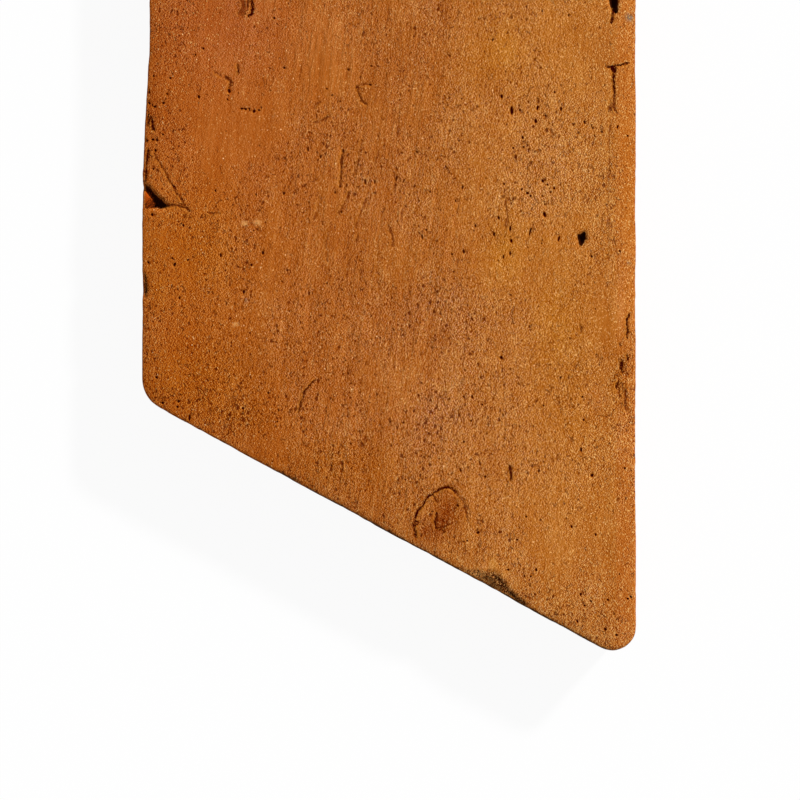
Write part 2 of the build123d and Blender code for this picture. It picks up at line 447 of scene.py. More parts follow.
# %% Crack paths on the photograph: half width in pixels, darkness, points
CRACKS = [
    (
        0.3, 0.7,
        [(154, 153), (157.5, 161), (165, 172), (171, 182), (175, 189), (180.4, 197.5), (184.5, 203)],
    ),
    (0.8, 1.0, [(173.4, 185.5), (175.3, 189)]),
    (0.4, 0.8, [(166.3, 205.5), (172.8, 204.8), (181.2, 206), (187, 208.5), (190, 212.5)]),
    (0.3, 0.6, [(207, 212), (213, 214), (219.5, 213)]),
    (1.1, 1.0, [(148, 150), (147, 160), (145.3, 168), (145, 181)]),
    (0.8, 1.0, [(147.6, 112), (146.6, 119), (147, 125)]),
    (0.9, 1.0, [(151, 116), (152, 124), (153.4, 130.5)]),
    (0.5, 0.9, [(315, 380), (308, 388), (303, 394), (301, 402), (298, 412)]),
    (0.3, 0.35, [(502, 365), (504, 396), (506, 428)]),
    (1.1, 1.0, [(250.9, -8), (252.4, 13), (249, 16)]),
    (0.4, 0.8, [(250.2, -26), (250.9, -8)]),
    (0.4, 0.9, [(237.5, 63.5), (239, 73.5)]),
    (0.3, 0.6, [(214.5, 71), (222, 76)]),
    (0.8, 0.8, [(225.5, 76), (229.5, 79), (232.5, 82.5)]),
    (0.4, 0.8, [(230.8, 82), (229.3, 88.5)]),
    (
        0.7, 1.0,
        [(416.6, 537.2), (413, 525.7), (415, 516.8), (419.8, 508.5), (428.7, 496.4), (433.8, 495)],
    ),
    (0.6, 1.0, [(433.8, 493), (441.5, 488.7), (447.5, 486.7), (453, 488), (456, 491.3)]),
    (0.3, 0.6, [(456, 491.3), (460.6, 497.6), (463.8, 501.5), (464.7, 507), (467, 521)]),
    (0.4, 0.8, [(415, 525.4), (418.8, 523)]),
    (0.4, 0.9, [(436.4, 513), (434.8, 520), (435.7, 529)]),
    (0.5, 0.8, [(438, 528), (444, 527), (449, 524)]),
    (0.5, 0.8, [(443, 534), (446, 531)]),
    (0.4, 0.8, [(455, 508), (458.5, 504)]),
    (0.5, 0.7, [(433, 497), (437, 503)]),
    (0.5, 0.55, [(313, 108), (316, 104), (321, 102)]),
    (0.4, 0.5, [(332.5, 103.5), (332.5, 110), (330.7, 115.4), (322, 121), (314, 122.8)]),
    (0.7, 0.75, [(356.7, 86.7), (358.4, 94.4), (363, 102.5), (366.5, 104.2)]),
    (0.5, 1.0, [(606, 66.6), (612, 66), (617, 64.6), (622, 64.4), (628, 63)]),
    (1.5, 1.0, [(614.6, 66), (614, 71.5)]),
    (0.5, 1.0, [(613.8, 71), (613.8, 84), (614.2, 96)]),
    (0.3, 0.7, [(613.6, 96), (611, 104), (609, 111)]),
    (0.4, 0.7, [(614.2, 96), (614.5, 106), (617, 112.5)]),
    (0.9, 1.0, [(613.4, 8), (613, 16), (612.4, 23)]),
    (0.3, 0.8, [(343, 150), (341, 161), (341.2, 168), (339.7, 188)]),
    (0.6, 0.6, [(350.4, 190), (345, 202), (338.2, 214.7)]),
    (0.6, 0.5, [(320.3, 197), (319, 204), (314, 220)]),
    (0.6, 0.5, [(366, 198), (360, 214), (356, 227)]),
    (0.5, 0.5, [(362, 140), (359, 158), (353, 176)]),
    (0.5, 0.4, [(378, 150), (374, 172)]),
    (0.5, 0.4, [(330, 222), (326, 246), (327, 262)]),
    (0.5, 0.5, [(394, 172), (396, 184), (394, 192)]),
    (0.5, 0.4, [(405, 196), (401, 222)]),
    (0.5, 0.4, [(378, 252), (377, 272), (379, 290)]),
    (0.5, 0.4, [(350, 258), (346, 276), (347, 296)]),
    (0.5, 0.4, [(399.5, 108), (398, 136)]),
    (0.7, 0.7, [(414.5, 26), (414, 37)]),
    (0.6, 0.7, [(363.3, 31), (362.5, 38)]),
    (2.0, 0.6, [(242.5, -8), (242.8, 9), (239, 14.5)]),
    (0.8, 0.5, [(243, -24), (242.5, -8)]),
    (0.5, 0.4, [(610, 120), (608.5, 170), (607, 215), (609, 262)]),
    (0.5, 0.5, [(505, 190), (507, 216), (504, 236)]),
    (0.5, 0.4, [(533, 222), (529, 236), (525, 245)]),
    (0.5, 0.55, [(357, 88), (360, 85), (366, 83.6), (370, 85)]),
    (0.4, 0.35, [(375, 91), (376, 98), (374, 102.5)]),
    (0.6, 0.6, [(357.5, 234), (356, 242)]),
    (0.6, 0.6, [(388, 224), (392, 236), (392.5, 246)]),
    (0.6, 0.5, [(362, 268), (360, 281)]),
    (0.7, 1.0, [(629.6, 313), (627.6, 319), (628, 331), (627, 339)]),
    (0.5, 0.9, [(619.4, 342), (620.6, 347)]),
    (0.9, 1.0, [(620.3, 358), (621.4, 366)]),
    (0.9, 1.0, [(627.4, 355), (627.8, 361)]),
    (0.7, 1.0, [(622.6, 361), (622.4, 368), (623.4, 374)]),
    (0.5, 1.0, [(617.4, 381), (616.6, 390)]),
    (0.4, 0.7, [(626, 386), (625.3, 396), (626.2, 412)]),
    (0.5, 0.8, [(580.6, 326), (582.5, 328.5), (581.4, 332)]),
    (0.9, 0.9, [(510, 466), (511.5, 474), (511, 480)]),
]
CRACK_REACH = 0.7  # beyond this distance the half width shrinks away
CRACK_GROOVE = 0.12
CRACK_BURR = 0.09
GROOVE_WIDTH = 0.4  # of the groove and of the burr that stands beside it
BURR_BESIDE = 0.5
GROOVE_START = -0.3  # half width of the crack at which its groove starts, and is full
GROOVE_FULL = 0.1
FAR = 9.0  # stands for a distance at which nothing counts any more
CRACK_SPREAD = 0.1  # pixels added to every half width, for the crumbled lips


def crack_lines(x, y, cracks):
    """Signed distance to the nearest crack, its half width and its darkness.

    The sign is the side of the nearest stretch. The half width loses what the point lies past the
    crack's end, and what it lies farther off than the reach.
    """
    nearest = np.full(x.shape, np.inf)
    side = np.full(x.shape, FAR)
    width = np.full(x.shape, -FAR)
    dark = np.zeros(x.shape)
    for half_width, darkness, marks in cracks:
        points = on_tile(marks)
        last = len(points) - 2
        for k, ((ax, ay), (bx, by)) in enumerate(zip(points[:-1], points[1:])):
            run = np.hypot(bx - ax, by - ay)
            ux, uy = (bx - ax) / run, (by - ay) / run
            along = (x - ax) * ux + (y - ay) * uy
            beside = (x - ax) * uy - (y - ay) * ux
            on_line = np.clip(along, 0.0, run)
            gap = np.hypot(beside, along - on_line)
            past = np.maximum(-along, 0.0) * (k == 0) + np.maximum(along - run, 0.0) * (k == last)
            closer = gap < nearest
            nearest = np.where(closer, gap, nearest)
            side = np.where(closer, np.where(beside < 0.0, -gap, gap), side)
            shrunk = (half_width + CRACK_SPREAD) * PIXEL - past - np.maximum(gap - CRACK_REACH, 0.0)
            width = np.where(closer, shrunk, width)
            dark = np.where(closer, darkness, dark)
    return np.clip(side, -FAR, FAR), np.maximum(width, -FAR), dark


crack_side, crack_width, crack_dark = crack_lines(ragged_x, ragged_y, CRACKS)
grooved = ease(GROOVE_START, GROOVE_FULL, crack_width)
groove = np.exp(-((crack_side / GROOVE_WIDTH) ** 2)) * grooved
burr = np.exp(-(((crack_side - BURR_BESIDE) / GROOVE_WIDTH) ** 2)) * grooved
face_z = face_z - CRACK_GROOVE * crack_dark * groove + CRACK_BURR * burr
print(f"cracks: {len(CRACKS)}")

# %% [markdown]
# ## Pores and pale grains
#
# Bits of straw and lime burn out in the kiln and leave pores, and coarse sand shows as pale grains.
# The larger ones are listed one by one and the rest are scattered. The mesh carries the way to the
# nearest one, counted in its half sizes. That changes evenly from point to point, so the finish can
# draw a pore that is smaller than a cell of the grid. Neighbours are dealt out to different layers, as
# one point can only know the way to one pore of each layer.

# %% Pores and pale grains on the photograph: column, row, half width, half height in pixels
PORES = [
    (146, 140.5, 1.6, 1.4), (152.5, 139.5, 1.6, 1.3), (156.8, 140.2, 1.4, 1.4), (162.7, 134.5, 1.1, 1.2),
    (155, 150.5, 1.2, 1.6), (153, 169, 1.1, 1.1), (241.5, 108.6, 1.5, 1.1), (245.2, 109, 1.3, 1.1),
    (249, 108.6, 1.2, 1.1), (253.6, 111.4, 1.7, 1.7), (258.6, 110, 1.5, 0.9), (228.8, 91, 1.5, 2.4),
    (149, 103, 1.2, 1.4), (148.6, 92, 1.2, 1.6), (154.5, 106.5, 1.4, 1.3), (163, 103, 1.2, 1.4),
    (170, 78, 1.2, 1.2), (153.5, 76, 1.2, 1.2), (198.5, 97, 1.2, 1.8), (167, 94, 1.0, 1.2),
    (283.6, 193.5, 1.3, 1.8), (220.4, 255.5, 1.2, 2.2), (262.5, 253, 1.3, 2.0), (251, 265, 1.2, 1.4),
    (243.4, 292, 1.3, 2.2), (242.4, 408.5, 1.3, 1.3), (174.3, 264.8, 1.4, 2.0), (187.7, 260, 1.2, 1.3),
    (183, 225.4, 1.2, 1.5), (151.8, 214.7, 1.5, 1.7), (148, 262.5, 1.4, 1.4), (156, 377.5, 1.4, 1.4),
    (162, 403, 1.4, 1.4), (178, 401.5, 1.4, 1.4), (177, 407, 1.3, 1.3), (189, 418, 1.2, 3.4),
    (274, 18, 1.3, 1.3), (284, 67.7, 1.3, 1.3), (203, 48.6, 1.2, 1.3), (227.5, 99.5, 1.0, 1.2),
    (371, 66, 1.3, 1.3), (348, 69.5, 1.3, 1.3), (340, 101.4, 1.2, 1.2), (331.6, 95.3, 1.1, 1.1),
    (326.5, 88.8, 1.1, 1.1), (370, 84.6, 1.4, 1.2), (416.7, 152, 1.2, 1.2), (426, 230, 1.2, 1.3),
    (421.8, 237, 1.1, 2.6), (430, 192, 1.1, 1.4), (389.8, 422, 1.2, 1.3), (403, 423, 1.2, 1.3),
    (350.5, 444, 1.2, 1.3), (331.4, 466, 1.2, 1.3), (307.6, 149.4, 1.2, 2.6), (364.9, 182, 1.2, 3.0),
    (396, 179, 1.1, 3.0), (374.4, 182, 0.9, 2.2), (403.5, 181, 0.9, 2.2), (320.3, 156.5, 1.0, 2.0),
    (342.9, 151, 1.1, 2.0), (501.5, 96.6, 1.4, 2.2), (511.5, 111, 1.6, 4.8), (519.7, 110, 1.1, 1.4),
    (537.3, 108, 1.3, 2.4), (535.5, 121, 1.4, 2.4), (545.5, 115.7, 1.0, 1.2), (561, 109, 1.0, 2.4),
    (584.7, 122.4, 1.0, 2.0), (522.5, 137.5, 1.2, 1.8), (513, 148, 1.2, 1.2), (523.5, 147, 1.0, 1.0),
    (602, 132, 1.2, 1.2), (627.7, 135.8, 1.1, 1.1), (617.5, 127, 1.0, 2.0), (462.3, 187.5, 1.1, 2.4),
    (542.6, 181, 1.3, 1.8), (547.4, 184.6, 1.1, 1.1), (554, 188.4, 1.2, 1.2), (521.6, 189.4, 1.2, 1.4),
    (527.3, 193.2, 1.4, 1.4), (530.5, 196, 1.2, 1.2), (542.2, 196, 0.9, 0.9), (550.5, 192, 1.0, 1.0),
    (544.5, 214.8, 1.7, 2.8), (498.6, 218, 1.1, 2.2), (510, 229, 1.0, 3.0), (493.8, 234.4, 1.2, 2.0),
    (511, 241, 1.3, 2.0), (510, 253.5, 1.0, 2.4), (530, 232, 0.9, 4.4), (558.7, 239, 1.1, 3.0),
    (463.5, 251.8, 1.4, 2.2), (451.7, 254.4, 1.2, 1.2), (541.6, 243.3, 0.9, 0.9), (501, 357.7, 1.5, 1.7),
    (463.6, 397, 1.2, 1.2), (482, 404.7, 1.2, 1.2), (471, 421, 1.2, 1.2), (463.6, 442, 1.2, 1.2),
    (433.8, 445.4, 1.2, 1.2), (538.8, 471, 1.1, 2.0), (485, 477, 1.1, 1.4), (460.6, 470.8, 1.1, 2.2),
    (560.6, 377.6, 1.2, 1.2), (582.4, 397, 1.2, 1.2), (583.6, 420, 1.2, 1.4), (581, 450, 1.2, 2.6),
    (592, 475.7, 1.7, 1.7), (624.8, 468.4, 1.2, 1.4), (405.4, 480, 1.0, 1.3), (420, 476, 1.0, 2.0),
    (477.8, 533, 1.6, 1.6), (467, 541, 1.1, 1.1), (463.8, 542, 1.0, 1.0), (516.9, 540, 1.2, 1.2),
    (571.5, 527, 1.1, 1.6), (595.7, 535, 1.1, 1.6), (536, 570, 1.2, 1.8), (530.7, 576.7, 1.1, 1.1),
    (508, 570, 1.2, 1.2), (580.7, 594.8, 1.1, 1.8), (591, 601.5, 1.1, 1.1), (584.5, 605.8, 1.1, 1.1),
    (607.8, 600, 1.2, 1.2), (627.7, 599, 1.2, 1.2), (577.4, 621.6, 1.1, 2.0), (605.2, 629.8, 1.5, 1.5),
    (616.4, 635.4, 1.3, 1.3), (432, 511.7, 1.4, 1.0), (457.7, 506, 1.6, 1.2),
]
PALE_GRAINS = [
    (244.5, 223.5, 3.8, 2.8), (257.5, 222.5, 4.2, 3.4), (256.8, 262, 1.4, 1.4), (231, 307, 1.4, 1.2),
    (235.7, 324, 3.6, 2.6), (260.6, 353, 1.2, 1.2), (309, 340.6, 1.1, 1.1), (236.7, 378, 1.1, 1.1),
    (253.5, 436, 1.1, 1.1), (247, 423, 1.1, 1.1), (278, 82, 1.1, 1.1), (283.8, 86.5, 1.1, 1.1),
    (427, 73.7, 1.1, 1.1), (535, 153, 1.3, 1.2), (608.9, 243, 1.1, 1.1), (625.8, 204.7, 1.1, 1.1),
    (580.5, 255.7, 2.6, 0.9), (615, 633, 1.8, 1.5), (397, 478, 1.2, 1.8),
]
SCATTERED_PORES = 300
SCATTER_SEED = 52
LEAST_PORE = 0.5  # half width of a scattered pore in pixels, and how much wider and longer some are
PORE_SPREAD = 0.6
SLIT_SPREAD = 1.4
PORE_SIZE = 0.74  # the photograph's own blur makes pores look wider than they are
PORE_DEPTH = 0.45
PORE_RIM = 1.7  # where a pore starts to sink and where it is deepest, in its half sizes
PORE_FLOOR = 0.5
PORE_LEAN = 0.1  # sideways for each millimetre along, and how much that differs
LEAN_SPREAD = 0.12
LEAN_SEED = 51
SPOT_REACH = 0.25  # a spot counts this far and ROW_REACH rows farther
ROW_REACH = 0.9


def scattered_pores(count, seed):
    """Rows like those above: even chances over the tile's box, most of them small, some slits."""
    chance = np.random.default_rng(seed)
    column = PHOTO_TILE_MIDDLE + chance.uniform(-right, right, count) / PIXEL
    row = PHOTO_LOW_RIGHT_ROW - chance.uniform(0.0, LONG_SIDE + WIDTH * slope, count) / PIXEL
    half_width = LEAST_PORE + PORE_SPREAD * chance.uniform(0.0, 1.0, count) ** 2
    half_height = half_width * (1.0 + SLIT_SPREAD * chance.uniform(0.0, 1.0, count) ** 2)
    return np.stack([column, row, half_width, half_height], axis=1)


def way_to_spot(x, y, spots, reach):
    """Across and along to the nearest spot in its half sizes, leaning a little, and how much it counts.

    The last number is 1 within the reach of a spot and falls to -1 over as much again.
    """
    nearest = np.full(x.shape, np.inf)
    across = np.full(x.shape, FAR)
    along = np.full(x.shape, FAR)
    leans = np.random.default_rng(LEAN_SEED).normal(PORE_LEAN, LEAN_SPREAD, len(spots))
    for (cx, cy), spot, lean in zip(on_tile(spots), spots, leans):
        gap = np.hypot(x - cx, y - cy)
        closer = gap < nearest
        nearest = np.where(closer, gap, nearest)
        across = np.where(closer, (x - cx - lean * (y - cy)) / (spot[2] * PORE_SIZE * PIXEL), across)
        along = np.where(closer, (y - cy) / (spot[3] * PORE_SIZE * PIXEL), along)
    counts = np.clip(1 - 2 * np.maximum(nearest - reach, 0.0) / reach, -1.0, 1.0)
    return np.stack([across, along, counts], axis=1)


row_here = row_spacing((face_y - low_right_y) - (right - face_x) * slope)
spot_reach = SPOT_REACH + ROW_REACH * row_here
pore_layers = {
    "pore_even": np.array(PORES[0::2]),
    "pore_odd": np.array(PORES[1::2]),
    "pore_far": scattered_pores(SCATTERED_PORES, SCATTER_SEED),
}
pores = {}
for name, spots in pore_layers.items():
    pores[name] = way_to_spot(face_x, face_y, spots, spot_reach)
    pore_round = np.hypot(pores[name][:, 0], pores[name][:, 1])
    sunk = ease(PORE_RIM, PORE_FLOOR, pore_round) * ease(0.0, 0.3, pores[name][:, 2])
    face_z = face_z - PORE_DEPTH * sunk
pale = way_to_spot(face_x, face_y, np.array(PALE_GRAINS), spot_reach)
print(f"pores: {len(PORES)} by hand, {SCATTERED_PORES} scattered; pale grains: {len(PALE_GRAINS)}")

# %% [markdown]
# ## Soft patches of tone
#
# Here and there the kiln left the clay darker, redder or more ashy, and the strike left it smooth or
# coarse: a brown stain where a stone popped, a brown band near the top, bare orange places. A few paint
# light instead: the lit floor of the notch and the ridge beside the spall's dark streak. Each is a soft
# round spot with five amounts, and their sums are kept on the mesh for the finish.

# %% Patches on the photograph: column, row, half width, half height, then the five amounts
PATCH_AMOUNTS = ("lighter", "bluer", "redder", "rougher", "greyer")
PATCHES = [
    (225, 20, 60, 70, 0.02, 0.70, 0.0, -0.45, 0.0),  # ashy upper left corner
    (162, 70, 24, 75, -0.14, 0.00, 0.0, 0.60, 0.0),  # pitted strip beside it
    (218, 140, 50, 50, 0.06, 0.20, 0.0, -0.65, 0.0),  # smooth place below
    (325, 35, 40, 45, 0.12, 0.10, 0.0, -0.60, 0.0),  # smooth places at the top
    (315, 75, 50, 35, 0.08, 0.0, 0.0, -0.75, 0.0),
    (442, 20, 22, 26, 0.0, 0.0, 0.0, 0.85, 0.0),  # coarse place
    (416, 45, 26, 60, -0.08, 0.05, 0.0, 0.25, 0.0),  # brown band
    (398, 120, 10, 35, -0.05, 0.10, 0.0, 0.10, 0.0),
    (503, 48, 20, 27, 0.03, -0.28, 0.0, -0.40, 0.0),  # bare orange places at the right
    (478, 66, 20, 24, 0.0, -0.10, 0.0, -0.45, 0.0),
    (505, 248, 18, 32, 0.03, -0.30, 0.0, -0.40, 0.0),
    (555, 325, 22, 50, -0.04, -0.18, 0.0, -0.25, 0.0),
    (608, 45, 12, 40, 0.0, -0.10, 0.30, 0.0, 0.0),  # foot of the fold
    (545, 175, 42, 50, 0.04, 0.05, 0.0, 0.35, 0.0),  # coarse sand
    (476, 180, 28, 28, -0.06, 0.0, 0.0, 0.40, 0.0),
    (462, 328, 48, 45, -0.03, 0.05, 0.0, 1.50, 0.0),
    (485, 392, 32, 30, -0.05, 0.0, 0.0, 0.40, 0.0),
    (440, 415, 34, 34, 0.10, 0.05, 0.0, 0.60, 0.0),
    (385, 435, 45, 36, 0.0, 0.0, 0.0, 0.75, 0.0),
    (600, 312, 20, 45, 0.0, 0.06, 0.0, -0.90, 0.0),  # smooth places at the right
    (562, 305, 16, 24, -0.02, 0.0, 0.0, -0.35, 0.0),
    (560, 495, 28, 26, 0.0, 0.0, 0.0, -0.40, 0.0),
    (565, 424, 26, 24, 0.0, 0.0, 0.0, -0.45, 0.0),
    (380, 260, 34, 26, -0.04, -0.08, 0.0, 0.0, 0.0),  # darker and lighter places
    (520, 384, 22, 26, -0.06, 0.0, 0.0, 0.0, 0.0),
    (520, 462, 22, 24, 0.06, 0.0, 0.0, 0.0, 0.0),
    (320, 140, 26, 30, 0.0, 0.0, 0.10, 0.35, 0.0),  # dragged place
    (335, 190, 65, 75, 0.06, 0.0, 0.06, 0.0, 0.0),
    (330, 238, 13, 8, -0.06, 0.0, 0.20, 0.0, 0.0),
    (258, 180, 14, 25, -0.07, 0.15, 0.0, 0.0, 0.0),
    (250, 235, 14, 28, 0.02, 0.10, 0.0, 0.40, 0.0),  # pale grains
    (190, 250, 65, 65, 0.02, -0.35, 0.0, 0.10, 0.0),  # orange left side
    (158, 290, 8, 22, 0.09, -0.20, 0.0, -0.20, 0.0),
    (195, 382, 75, 48, -0.19, -0.40, 0.0, 0.60, 0.0),  # lower left corner
    (300, 400, 45, 40, 0.06, 0.0, 0.0, 0.40, 0.0),
    (335, 465, 65, 30, -0.13, -0.28, 0.0, 0.15, 0.0),
    (245, 418, 34, 18, -0.22, -0.22, 0.0, 1.00, 0.0),
    (400, 505, 40, 22, -0.08, -0.10, 0.0, 0.20, 0.0),
    (447, 510, 11, 17, -0.36, 0.0, 0.65, 0.30, 0.0),  # stain where a stone popped
    (430, 532, 14, 10, -0.26, 0.0, 0.62, 0.60, 0.0),
    (444, 524, 12, 9, -0.16, 0.0, 0.30, 0.30, 0.0),
    (470, 545, 40, 25, -0.05, 0.0, 0.0, 0.50, 0.0),
    (603, 575, 36, 60, -0.09, 0.12, 0.0, 0.0, 0.0),  # lower right corner
    (493, 565, 6, 7, 0.34, -0.25, 0.0, -0.60, 0.0),  # smeared clay above the spall
    (492, 550, 3, 10, 0.26, 0.0, 0.0, -0.40, 0.0),
    (481, 568, 9, 2.5, 0.34, 0.0, 0.0, -0.20, 0.0),
    (487, 566, 5, 3, 0.22, 0.25, 0.0, -0.20, 0.0),
    # These two paint light on the ridge along the spall's dark streak, where the dent beside it would
    # leave the clay in shade
    (505, 574, 6, 5, 0.22, -0.10, 0.0, -0.30, 0.0),
    (515, 588, 5, 7, 0.22, 0.0, 0.0, -0.20, 0.0),
    (626, 150, 9, 160, 0.0, -0.10, 0.08, -0.50, 0.0),  # lip
    (608, 50, 24, 75, 0.03, 0.10, 0.0, -0.75, 0.0),  # smooth top of the lip
    (607, 350, 10, 75, -0.14, 0.10, 0.0, -0.30, 0.0),
    (575, 375, 26, 80, -0.09, -0.10, 0.0, 0.0, 0.0),  # brown hollow beside the lip
    (622, 316, 4.5, 32, 0.26, 0.20, 0.0, -0.40, 0.0),
    (622, 235, 5, 40, 0.08, 0.05, 0.0, -0.20, 0.0),
    (624, 364, 8, 30, -0.04, -0.30, 0.40, 0.90, 0.0),  # eroded part of the lip
    (616, 385, 8, 14, -0.03, -0.30, 0.30, 0.50, 0.0),
    (596, 400, 9, 11, 0.08, 0.25, 0.0, -0.20, 0.0),  # pale smear
    (630, 17, 4.5, 3.2, -0.05, 0.0, 0.0, -0.40, 1.0),  # grey ash
    (629.6, 262.7, 1.8, 1.6, 0.0, 0.0, 0.0, 0.0, 0.9),
    (246, 300, 2.0, 2.0, 0.0, 0.0, 0.0, 0.0, 0.7),
    (146, 194, 4.5, 8, 0.80, 0.0, 0.0, 0.0, 0.0),  # lit floor of the notch
]


def soft_patches(x, y, patches):
    """Sums of round spots, each its amounts times exp of minus the squared distance in half sizes."""
    total = 0.0
    for (cx, cy), (_, _, half_width, half_height, *amounts) in zip(on_tile(patches), patches):
        across = (x - cx) / (half_width * PIXEL)
        along = (y - cy) / (half_height * PIXEL)
        total = total + np.exp(-(across**2) - along**2)[:, None] * amounts
    return total.T


patch_sums = soft_patches(face_x, face_y, PATCHES)
print(f"patches: {len(PATCHES)}")

# %% [markdown]
# ## The rim and the back
#
# From the border's last ring a profile is carried round the outline: a quarter round arris, a wall
# that is not quite flat, and a rounder edge underneath. It starts at whatever height the face has
# there, so the notch and the spall run through the edge. The back needs few points. It uses every
# fourth point of the outline, joined to the finer rim by a strip of triangles.

# %% Rings of the rim
ARRIS_RINGS = 3
WALL_RINGS = 6
BEDDING_RINGS = 3
BEDDING_RADIUS = 1.2
WALL_ROUGHNESS = 0.22
WALL_LAYERS = [(1.0, 6.0, 4.0, 31), (0.7, 2.0, 3.0, 32)]
WALL_CREST = 0.9  # height of the noise that lies level with the wall
WALL_START = 0.3  # share of the wall over which the roughness sets in
EDGE_SHADE_DOWN = 1.0  # the painted edge shade runs this far down the wall before it fades

loop_count = len(loop)
rim_z = face_z[-loop_count:]
arris_angle = np.linspace(0.0, math.pi / 2, ARRIS_RINGS + 1)[1:, None]
arris_out = -ARRIS_RADIUS * (1 - np.sin(arris_angle)) + 0.0 * rim_z
arris_z = rim_z - ARRIS_RADIUS * (1 - np.cos(arris_angle))
wall_share = np.linspace(0.0, 1.0, WALL_RINGS + 1)[1:, None]
wall_z = arris_z[-1] + wall_share * (BEDDING_RADIUS - arris_z[-1])
around = np.cumsum(np.hypot(*np.diff(outline, axis=0, append=outline[:1]).T))
wall_noise = layered_noise(around[None, :] + 0.0 * wall_z, wall_z, WALL_LAYERS)
wall_out = WALL_ROUGHNESS * np.minimum(wall_noise - WALL_CREST, 0.0) * ease(0.0, WALL_START, wall_share)
bedding_angle = np.linspace(0.0, math.pi / 2, BEDDING_RINGS + 1)[1:, None]
bedding_out = wall_out[-1] - BEDDING_RADIUS * (1 - np.cos(bedding_angle))
bedding_z = BEDDING_RADIUS * (1 - np.sin(bedding_angle)) + 0.0 * rim_z
rim_out = np.concatenate([arris_out, wall_out, bedding_out])
rim_height = np.concatenate([arris_z, wall_z, bedding_z])
rim_x, rim_y = swell(
    outline[:, 0] + rim_out * outward[:, 0],
    outline[:, 1] + rim_out * outward[:, 1],
)
rim_near = np.abs(edge_gaps(rim_x, rim_y)).min(axis=0)
rim_near = rim_near + np.maximum(rim_z - EDGE_SHADE_DOWN - rim_height, 0.0)
rim_near = np.clip(rim_near, 0.0, FAR)
print(f"rim: {len(rim_out)} rings of {loop_count} points")

# %% Points of the back
back_x, back_y, back_index, back_loop = slanted_grid(columns[::BACK_EVERY], rows[::BACK_EVERY])
back_x, back_y = swell(back_x, back_y)
print(f"back: {back_x.size} points")

# %% [markdown]
# ## Faces of the mesh
#
# All faces are made from index arrays. A grid of points gives a grid of four sided faces, a stack of
# rings gives a belt of them, and the strip to the back is made of triangles. The order of the corners
# decides which way a face points, so the back is numbered the other way round.

# %% Index arrays for grids, belts and the closing strip


def grid_faces(index):
    """Four corners of every cell of an index grid, counter-clockwise seen from above."""
    corners = [index[:-1, :-1], index[:-1, 1:], index[1:, 1:], index[1:, :-1]]
    return np.stack([corner.ravel() for corner in corners], axis=1)


def belt_faces(rings):
    """Four corners of every cell between neighbouring rings, whose ends join up."""
    ahead = np.roll(rings, -1, axis=1)
    corners = [rings[1:], ahead[1:], ahead[:-1], rings[:-1]]
    return np.stack([corner.ravel() for corner in corners], axis=1)


def strip_faces(fine, coarse):
    """Triangles between a fine ring and a coarse one with a point for every fourth of the fine ring."""
    near = np.repeat(coarse, BACK_EVERY)
    fans = np.stack([fine, near, np.roll(fine, -1)], axis=1)
    half = BACK_EVERY // 2
    near_shifted = np.repeat(np.roll(coarse, -1), BACK_EVERY).reshape(-1, BACK_EVERY)
    fans[:, 1].reshape(-1, BACK_EVERY)[:, half:] = near_shifted[:, half:]
    bridges = np.stack([fine[half::BACK_EVERY], coarse, np.roll(coarse, -1)], axis=1)
    return np.concatenate([fans, bridges])


face_count = len(face_x)
rim_count = rim_x.size
border_rings = grid_x.size + np.arange(BORDER_RINGS * loop_count).reshape(BORDER_RINGS, loop_count)
rim_rings = face_count + np.arange(rim_count).reshape(rim_x.shape)
rings = np.concatenate([loop[None, :], border_rings, rim_rings])
back_points = face_count + rim_count + back_index
quads = np.concatenate([grid_faces(grid_index), belt_faces(rings), grid_faces(back_points)[:, ::-1]])
triangles = strip_faces(rings[-1], face_count + rim_count + back_loop)
triangle_total = 2 * len(quads) + len(triangles)
print(f"faces: {len(quads)} of four corners, {len(triangles)} of three, {triangle_total} triangles")

# %% [markdown]
# ## Putting the mesh together
#
# The arrays go into the mesh in one call each. The numbers that the finish needs, such as the signed
# distances, are stored on the points as attributes. The object sits at the origin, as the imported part
# does, so Object coordinates in the finish are places on the tile.

# %% The tile as one closed mesh
points = np.concatenate(
    [
        np.stack([face_x, face_y, face_z], axis=1),
        np.stack([rim_x.ravel(), rim_y.ravel(), rim_height.ravel()], axis=1),
        np.stack([back_x.ravel(), back_y.ravel(), np.zeros(back_x.size)], axis=1),
    ]
)
corner_list = np.concatenate([quads.ravel(), triangles.ravel()])
sizes = np.concatenate([np.full(len(quads), 4), np.full(len(triangles), 3)])
starts = np.concatenate([[0], np.cumsum(sizes)[:-1]])

clay = bpy.data.meshes.new("terracotta_tile")
clay.vertices.add(len(points))
clay.vertices.foreach_set("co", (points * MM).ravel())
clay.loops.add(len(corner_list))
clay.loops.foreach_set("vertex_index", corner_list)
clay.polygons.add(len(sizes))
clay.polygons.foreach_set("loop_start", starts)
clay.polygons.foreach_set("loop_total", sizes)
clay.polygons.foreach_set("use_smooth", np.ones(len(sizes), dtype=bool))
clay.update(calc_edges=True)
clay.validate()


def keep_on_points(name, on_face, elsewhere, on_rim=None):
    """Stores a number or a vector for each point: worked out on the face, the same everywhere else.

    The rim may have numbers of its own.
    """
    kind, key = ("FLOAT", "value") if on_face.ndim == 1 else ("FLOAT_VECTOR", "vector")
    values = np.full((len(points),) + on_face.shape[1:], elsewhere)
    values[:face_count] = on_face
    if on_rim is not None:
        values[face_count : face_count + rim_count] = on_rim.ravel()
    clay.attributes.new(name, kind, "POINT").data.foreach_set(key, values.ravel())


